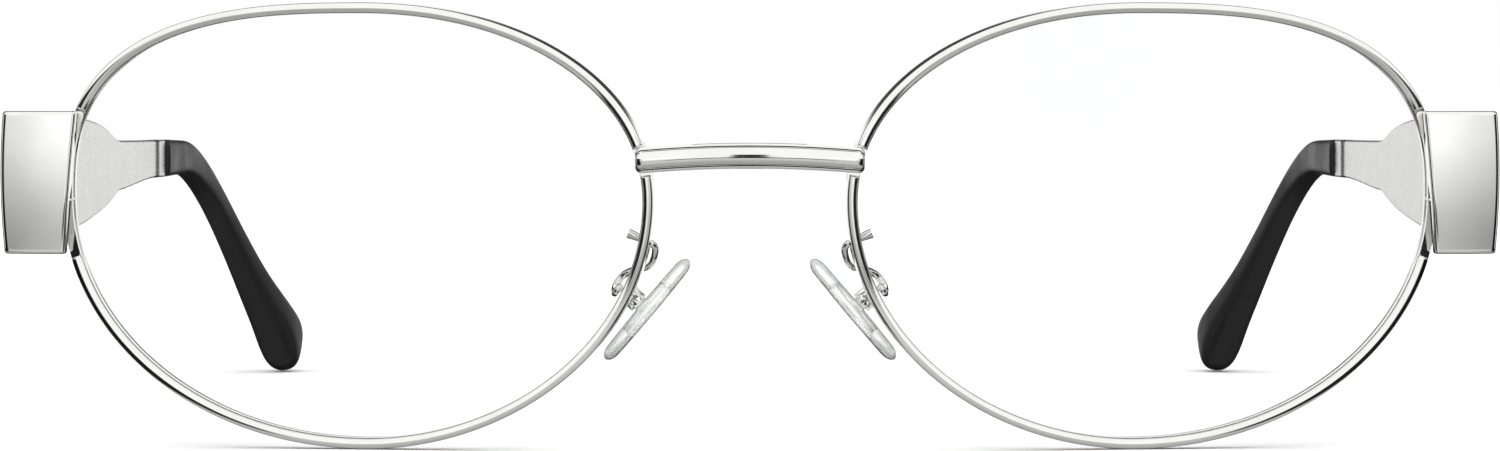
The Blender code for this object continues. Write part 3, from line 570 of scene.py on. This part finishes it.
def make_bridge():
    """Bar whose rounded ends lap over the filed fronts of both rims."""
    reaches = spread(0, BRIDGE_REACH - BRIDGE_END_ROUND, 40)
    reaches += [BRIDGE_REACH - BRIDGE_END_ROUND + BRIDGE_END_ROUND * s for s, _ in arc(8)[1:]]
    profile = bridge_profile()
    rings = []
    for x in [-r for r in reversed(reaches[1:])] + reaches:
        share = x / BRIDGE_REACH
        past = max(0.0, (abs(x) - (BRIDGE_REACH - BRIDGE_END_ROUND)) / BRIDGE_END_ROUND)
        size = BRIDGE_END_SIZE + (1 - BRIDGE_END_SIZE) * math.sqrt(max(0.0, 1 - past**2))
        y = BRIDGE_Y - BRIDGE_BOW * (1 - share**2)
        z = BRIDGE_Z + BRIDGE_ARCH * (0.5 - share**2)
        ring = []
        for back, up in profile:
            point = Vector((x, y + size * back, z + size * up))
            if abs(x) > LENS_X - NASAL_REACH - BRIDGE_LAP:
                point.y = min(point.y, filed_front(abs(point.x), point.z).y)
            ring.append(point)
        rings.append(ring)
    make_piece("bridge_fine", lofted(rings), "polished_steel", 1, "front", ["bridge"], sharp=42)


END_EDGE = 0.28  # rounding of the endpiece's long edges
END_BOW = 0.22  # how far the front curves back on its way to the corner


def fillet(corner, before, after, radius, steps=18):
    """Arc that rounds a corner between two unit directions pointing away from it, in plan."""
    half = before.angle(after) / 2
    centre = corner + (before + after).normalized() * (radius / math.sin(half))
    first = corner + before * (radius / math.tan(half)) - centre
    last = corner + after * (radius / math.tan(half)) - centre
    turn = first.angle_signed(last)
    return [centre + Matrix.Rotation(-turn * k / (steps - 1), 2) @ first for k in range(steps)]


def endpiece_ring(height, inset):
    """Plan of the endpiece at a height, drawn in by inset where its top and bottom edges round off."""
    middle, half = (END_TOP + END_BOTTOM) / 2, (END_TOP - END_BOTTOM) / 2
    shrink = END_CROWN * ((height - middle) / half) ** 2
    back_start = filed_front(END_INNER_X - END_LEAN * (height - middle), height).xy
    outwards = Vector((math.cos(math.radians(WRAP)), math.sin(math.radians(WRAP))))
    forward = Vector((outwards.y, -outwards.x))
    thick = END_THICK - shrink - inset
    wall = END_OUTER_X - shrink - inset
    rounding = min(END_EDGE, 0.8 * thick)
    outer = []
    for sine, bend in arc(6):
        reach, rise = inset + rounding * bend, thick - rounding * (1 - sine)
        outer.append(back_start + outwards * reach + forward * rise)
    length = (wall - back_start.x) / outwards.x - END_CORNER
    for reach in spread(inset + 1.5 * rounding, length - 0.05, 14):
        outer.append(back_start + outwards * reach + forward * (thick - END_BOW * (reach / length) ** 2))
    tangent = (outwards - forward * (2 * END_BOW / length)).normalized()
    corner = outer[-1] + tangent * ((wall - outer[-1].x) / tangent.x)
    outer += fillet(corner, -tangent, Vector((0, 1)), END_CORNER)
    outer += [Vector((wall, y)) for y in (END_REAR_Y - 1.0, END_REAR_Y - inset)]
    inner_wall = END_OUTER_X - END_THICK + 0.4 * inset
    inner = [back_start + outwards * inset + forward * 0.4 * inset]
    corner = inner[0] + outwards * ((inner_wall - inner[0].x) / outwards.x)
    inner += fillet(corner, -outwards, Vector((0, 1)), END_INNER_CORNER, 6)
    inner.append(Vector((inner_wall, END_REAR_Y - inset)))
    return [(p.x, p.y, height) for p in outer + inner[::-1]]


def make_endpiece(side_name, side):
    """Wrap-round plate, softly domed, with rounded polished edges."""
    rings = [endpiece_ring(END_BOTTOM + END_EDGE * bend, END_EDGE * (1 - sine)) for sine, bend in arc(6)]
    rings += [endpiece_ring(z, 0) for z in spread(END_BOTTOM + 2 * END_EDGE, END_TOP - 2 * END_EDGE, 24)]
    rings += [endpiece_ring(END_TOP - END_EDGE * bend, END_EDGE * (1 - sine)) for sine, bend in arc(6)[::-1]]
    nodes = [f"{side_name}_endpiece"]
    make_piece(f"{side_name}_endpiece_fine", lofted(rings), "polished_steel", side, "front", nodes, sharp=50)


# ---------------------------------------------------------------- temples


def temple_line():
    """Centreline of the temple as (point, across, up) each millimetre, from the hinge axis."""
    point = Vector(((TEMPLE_INNER + TEMPLE_OUTER) / 2, 0.05, 0))
    line = []
    for station in range(int(TIP_END) + 1):
        drop = math.radians(DROP) * eased(DROP_START, DROP_END, station)
        inward = math.radians(INWARD) * eased(INWARD_START, INWARD_END, station)
        onwards = math.cos(inward)
        along = Vector((-math.sin(inward), onwards * math.cos(drop), -onwards * math.sin(drop)))
        across = (X - along * along.x).normalized()
        line.append((point.copy(), across, across.cross(along)))
        point += along
    return line


TEMPLE_LINE = temple_line()
TOE = Matrix.Rotation(math.radians(TOE_IN), 3, "Z")


def on_line(station):
    """Point and axes of the temple's centreline at any station."""
    index = min(int(station), len(TEMPLE_LINE) - 2)
    return [a.lerp(b, station - index) for a, b in zip(TEMPLE_LINE[index], TEMPLE_LINE[index + 1])]


def on_temple(station, flat):
    """Ring of (across, up) points set on the centreline at a station."""
    point, across, up = on_line(station)
    return [HINGE + TOE @ (point + across * x + up * z) for x, z in flat]


def rounded_bar(low, high, half_thick, radius, steps=5):
    """Rectangle from low to high with rounded corners."""
    ring = []
    corners = [(1, low, -90), (1, high, 0), (-1, high, 90), (-1, low, 180)]
    for sign, level, first in corners:
        x = sign * (half_thick - radius)
        z = level + radius if level == low else level - radius
        for k in range(steps + 1):
            turn = math.radians(first + 90 * k / steps)
            ring.append((x + radius * math.cos(turn), z + radius * math.sin(turn)))
    return ring


ARM_ROUND, ARM_END_ROUND = 0.3, 0.18  # rounding of the arm's long edges and of its ends


def make_temple_arm(side_name, side):
    """Flat satin arm with two shoulders, swelling into a collar in front of the black tip."""
    flat = (TEMPLE_OUTER - TEMPLE_INNER) / 2
    ends = [(ARM_END_ROUND * bend, ARM_END_ROUND * (1 - sine)) for sine, bend in arc(4)]
    along = spread(0.6, COLLAR_START - 1, 120) + spread(COLLAR_START - 0.5, ARM_END - 0.5, 40)
    stations = ends + [(s, 0) for s in along] + [(ARM_END - s, inset) for s, inset in reversed(ends)]
    rings = []
    for station, inset in stations:
        swell = eased(COLLAR_START, COLLAR_FULL, station)
        thick = flat + (COLLAR_HALF_THICK - flat) * swell - inset
        low, high = between(TEMPLE_BOTTOM, station) + inset, between(TEMPLE_TOP, station) - inset
        rings.append(on_temple(station, rounded_bar(low, high, thick, ARM_ROUND)))
    make_piece(f"{side_name}_temple_arm_fine", lofted(rings), "satin_steel", side,
               f"{side_name}_temple", [f"{side_name}_temple_arm"])


TIP_LIP = 0.35  # rounding of the sleeve's mouth
TIP_STEPS = 56
TIP_SHY = 0.08  # how far the rounded end stays inside the CAD tip
TIP_SHY_START, TIP_SHY_FULL = 130, 134


def make_temple_tip(side_name, side):
    """Black sleeve with a rounded lip, square at its mouth and soft towards its paddle end."""
    lip = [(TIP_START + TIP_LIP * bend, TIP_LIP * (1 - sine)) for sine, bend in arc(6)]
    along = spread(TIP_START + 0.8, 130, 110) + spread(130.3, 135.0, 24) + spread(135.05, TIP_END, 14)
    stations = lip + [(s, TIP_SHY * eased(TIP_SHY_START, TIP_SHY_FULL, s)) for s in along]
    rings = []
    for station, inset in stations:
        share = eased(TIP_START, TIP_END, station)
        power = TIP_ROUNDING[0] + (TIP_ROUNDING[1] - TIP_ROUNDING[0]) * share
        high, thick = between(TIP_HALF_HEIGHTS, station) - inset, between(TIP_HALF_THICKS, station) - inset
        middle = between(TIP_MIDDLES, station)
        ring = []
        for k in range(TIP_STEPS):
            turn = math.tau * (k + 0.5) / TIP_STEPS
            c, s = math.cos(turn), math.sin(turn)
            ring.append((thick * math.copysign(abs(c) ** power, c),
                         middle + high * math.copysign(abs(s) ** power, s)))
        rings.append(on_temple(station, ring))
    make_piece(f"{side_name}_temple_tip_fine", lofted(rings), "black_tip_plastic", side,
               f"{side_name}_temple", [f"{side_name}_temple_tip"], sharp=SOFT_EDGE)


# ---------------------------------------------------------------- nose pads


def on_pad(point):
    """Left-side point from the pad's frame: x away from the nose, y along the screw, z up the pad."""
    lean = math.radians(PAD_LEAN)
    x, y, z = point
    across, up = x * math.cos(lean) - z * math.sin(lean), x * math.sin(lean) + z * math.cos(lean)
    return PAD_PIVOT + Vector((across, y, up))


# Shares of the pad's half thickness: the middle of each face, its fall towards the edge, and the edge
PAD_CROWN, PAD_DOME, PAD_BRIM = 0.98, 0.11, 0.88
PAD_SLOPE = 1.3  # how far the edge's rounding reaches in
PAD_STEPS = 72
PAD_FACE_RINGS = [0.08, 0.3, 0.55, 0.78, 0.92]


def make_nose_pad(side_name, side):
    """Clear teardrop cushion, domed on both faces."""

    def ring(level, inset, share=1.0):
        made = []
        for k in range(PAD_STEPS):
            up = math.sin(math.tau * k / PAD_STEPS)
            width = (PAD_HALF_WIDTH - inset) * (1 - PAD_NARROWING * up)
            across = math.cos(math.tau * k / PAD_STEPS) * width
            made.append(on_pad((-PAD_STANDOFF + level * PAD_HALF_THICK, share * across,
                                share * up * (PAD_HALF_LENGTH - inset))))
        return made

    rings = [ring(-PAD_CROWN + PAD_DOME * share**2, PAD_SLOPE, share) for share in PAD_FACE_RINGS]
    for turn in spread(-80, 80, 21):
        sine, cosine = math.sin(math.radians(turn)), math.cos(math.radians(turn))
        rings.append(ring(PAD_BRIM * sine, PAD_SLOPE * (1 - cosine)))
    rings += [ring(PAD_CROWN - PAD_DOME * share**2, PAD_SLOPE, share) for share in reversed(PAD_FACE_RINGS)]
    pad = make_piece(f"{side_name}_nose_pad_fine", lofted(rings), "clear_silicone", side,
                     f"{side_name}_pad", [f"{side_name}_nose_pad"], sharp=SOFT_EDGE)
    pad.visible_shadow = False


WIRE_STEPS = 20
WIRE_FLARE, WIRE_FLARE_LENGTH = 0.12, 1.6  # of solder round the wire, where it leaves the rim
WIRE_LEAST = 0.12  # share of the radius that the rounded end closes to


def make_pad_arm(side_name, side):
    """Bent wire, flared where it is soldered to the rim and rounded at its end."""
    points = curve_through(ARM_ROUTE, 12)
    rings = []
    up = Z.copy()
    travelled = 0.0
    total = sum((b - a).length for a, b in zip(points, points[1:]))
    for i, point in enumerate(points):
        along = (points[min(i + 1, len(points) - 1)] - points[max(i - 1, 0)]).normalized()
        up = (up - along * up.dot(along)).normalized()
        over = along.cross(up)
        if i:
            travelled += (point - points[i - 1]).length
        flare = WIRE_FLARE * (1 - eased(0.0, WIRE_FLARE_LENGTH, travelled))
        left = total - travelled
        end = math.sqrt(max(0.0, 1 - max(0.0, 1 - left / ARM_WIRE_RADIUS) ** 2))
        radius = (ARM_WIRE_RADIUS + flare) * max(WIRE_LEAST, end)
        turns = [math.tau * k / WIRE_STEPS for k in range(WIRE_STEPS)]
        rings.append([point + radius * (over * math.cos(turn) + up * math.sin(turn)) for turn in turns])
    make_piece(f"{side_name}_pad_arm_fine", lofted(rings), "polished_steel", side, "front",
               [f"{side_name}_pad_arm"], sharp=SOFT_EDGE)


# ---------------------------------------------------------------- small CAD parts

# (finish, width of the rounded edges)
SMALL_PARTS = {
    "closing_block_upper": ("polished_steel", 0.12),
    "closing_block_lower": ("polished_steel", 0.12),
    "closing_screw": ("polished_steel", 0.05),
    "hinge_front": ("polished_steel", 0.12),
    "hinge_rear": ("polished_steel", 0.12),
    "hinge_screw": ("polished_steel", 0.05),
    "pad_box": ("polished_steel", 0.08),
    "pad_screw": ("polished_steel", 0.04),
    "pad_core": ("pad_core_plastic", 0.1),
}


def dress_small_part(node, slot, width):
    """Rounds a CAD part's edges and gives it its finish."""
    part = frame["nodes"][node]
    for held in part.material_slots:
        held.material = FINISHES[slot]
    part.data.shade_smooth()
    part.data.set_sharp_from_angle(angle=math.radians(SHARP_EDGE))
    weld = part.modifiers.new("weld", "WELD")
    weld.merge_threshold = 0.002 * MM
    bevel = part.modifiers.new("soft_edges", "BEVEL")
    bevel.width = width * MM
    bevel.segments = 3
    bevel.limit_method = "ANGLE"
    bevel.angle_limit = math.radians(40)
    bevel.harden_normals = True


# ---------------------------------------------------------------- stage


FLOOR_HALF, FLOOR_DROP = 1.6, 0.05 * MM
PANEL_SIZE, PANEL_HEIGHT, PANEL_WATTS = 4.0, 1.4, 52.0


def make_floor():
    """Large pale floor just under the glasses."""
    half = FLOOR_HALF
    corners = [(-half, -half, 0), (half, -half, 0), (half, half, 0), (-half, half, 0)]
    mesh = bpy.data.meshes.new("floor")
    mesh.from_pydata(corners, [], [(0, 1, 2, 3)])
    made, nodes, place = new_material("pale_floor")
    tone = nodes.colours(nodes.noise(place, 3.0, 2.0), (0.93, 0.93, 0.93), (0.95, 0.95, 0.95))
    shader = nodes.add("ShaderNodeBsdfPrincipled", {"Base Color": tone, "Roughness": 0.9})
    finish_material(nodes, shader.outputs[0])
    mesh.materials.append(made)
    floor = bpy.data.objects.new("floor", mesh)
    bpy.context.scene.collection.objects.link(floor)
    floor.location.z = -FLOOR_DROP
    floor.visible_glossy = False


def make_lights():
    """A broad soft panel overhead that lights the floor evenly."""
    data = bpy.data.lights.new("overhead_panel", "AREA")
    data.shape, data.size, data.energy = "SQUARE", PANEL_SIZE, PANEL_WATTS
    lamp = bpy.data.objects.new("overhead_panel", data)
    lamp.location = (0, 0, PANEL_HEIGHT)
    lamp.visible_glossy = False
    bpy.context.scene.collection.objects.link(lamp)


def make_world():
    """White studio for the camera, and for everything else a tent of panels with dark gaps.

    x, y and z are the parts of a direction: y grows towards the back, and z upwards.
    """
    world = bpy.data.worlds.new("studio")
    bpy.context.scene.world = world
    world.use_nodes = True
    nodes = Nodes(world.node_tree)
    ray = nodes.add("ShaderNodeSeparateXYZ", {0: nodes.add("ShaderNodeTexCoord").outputs["Generated"]})
    x, y, z = ray.outputs
    aside = nodes.math("ABSOLUTE", x)
    front = nodes.math("MULTIPLY", y, -1.0)

    def both(first, second):
        return nodes.math("MULTIPLY", first, second)

    def rest(mask):
        return nodes.math("SUBTRACT", 1.0, mask)

    def darkened(tone, mask, amount):
        return both(tone, rest(both(mask, amount)))

    def mixed(tone, other, mask):
        return nodes.math("ADD", both(tone, rest(mask)), both(other, mask))

    def window(value, rise, fall):
        """1 between a soft rise and a soft fall, each given as (first, last) value."""
        return both(nodes.ramp(value, *rise), nodes.ramp(value, *fall, 1.0, 0.0))

    # White panels overhead, a grey table below, and a thin dark seam between them.
    tone = nodes.ramp(z, -0.33, -0.25, 0.64, 1.0)
    tone = both(tone, nodes.ramp(z, -1.0, -0.4, 0.58, 1.0))
    seam = window(z, (-0.37, -0.33), (-0.25, -0.21))
    tone = mixed(tone, 0.12, seam)

    # A card on each side in front, white at its top and grey at its bottom, and duller further aside.
    card = both(nodes.ramp(z, -0.36, 0.12, 0.52, 1.22), nodes.ramp(aside, 0.36, 0.54, 1.0, 0.62))
    on_card = both(nodes.ramp(aside, 0.28, 0.34), nodes.ramp(front, 0.2, 0.4))
    on_card = both(on_card, window(z, (-0.44, -0.40), (0.14, 0.22)))
    tone = mixed(tone, card, on_card)

    # Black flags at both sides, and the dark gap round the white backdrop.
    flag = both(window(front, (-0.12, -0.02), (0.68, 0.74)), nodes.ramp(aside, 0.42, 0.5))
    flag = both(flag, window(z, (-0.72, -0.64), (0.22, 0.28)))
    off_level = nodes.math("ABSOLUTE", z)
    backdrop = both(nodes.ramp(aside, 0.52, 0.62, 1.0, 0.0), nodes.ramp(off_level, 0.12, 0.17, 1.0, 0.0))
    gap = both(nodes.ramp(y, 0.24, 0.34), rest(backdrop))
    tone = darkened(tone, flag, 0.98)
    tone = darkened(tone, gap, 0.95)

    # The camera's dark opening between the front panels.
    opening = both(nodes.ramp(aside, 0.06, 0.085, 1.0, 0.0), nodes.ramp(front, 0.5, 0.6))
    opening = both(opening, window(z, (-0.46, -0.32), (0.2, 0.25)))
    tone = darkened(tone, opening, 0.98)

    tent = nodes.add("ShaderNodeBackground", {"Color": WHITE, "Strength": tone})
    backcloth = nodes.add("ShaderNodeBackground", {"Color": WHITE, "Strength": 1.0})
    seen = nodes.add("ShaderNodeLightPath").outputs["Is Camera Ray"]
    studio = nodes.add("ShaderNodeMixShader", {0: seen, 1: tent.outputs[0], 2: backcloth.outputs[0]})
    nodes.add("ShaderNodeOutputWorld", {"Surface": studio.outputs[0]})


CAMERA_DISTANCE = 450.0  # from the front of the rims
CAMERA_HEIGHT = 33.0
VIEW_WIDTH = 140.25  # width of the view at that distance
FRAME_HORIZON = 11.73  # how far the view's middle lies below the camera's height, at that distance


def make_camera():
    data = bpy.data.cameras.new("camera")
    data.sensor_width = 36.0
    data.lens = data.sensor_width * CAMERA_DISTANCE / VIEW_WIDTH
    data.clip_start = 0.01
    camera = bpy.data.objects.new("camera", data)
    bpy.context.scene.collection.objects.link(camera)
    camera.location = Vector((0, -CAMERA_DISTANCE - ORIGIN.y, CAMERA_HEIGHT)) * MM
    camera.rotation_euler = (math.pi / 2 - math.atan2(FRAME_HORIZON, CAMERA_DISTANCE), 0, 0)
    bpy.context.scene.camera = camera


def main():
    make_bridge()
    for side_name, side in SIDES.items():
        make_rim(side_name, side)
        make_lens(side_name, side)
        make_endpiece(side_name, side)
        make_temple_arm(side_name, side)
        make_temple_tip(side_name, side)
        make_pad_arm(side_name, side)
        make_nose_pad(side_name, side)
        for part, (slot, width) in SMALL_PARTS.items():
            dress_small_part(f"{side_name}_{part}", slot, width)
    make_floor()
    make_lights()
    make_world()
    make_camera()
    bpy.context.scene.view_settings.view_transform = "Standard"


main()
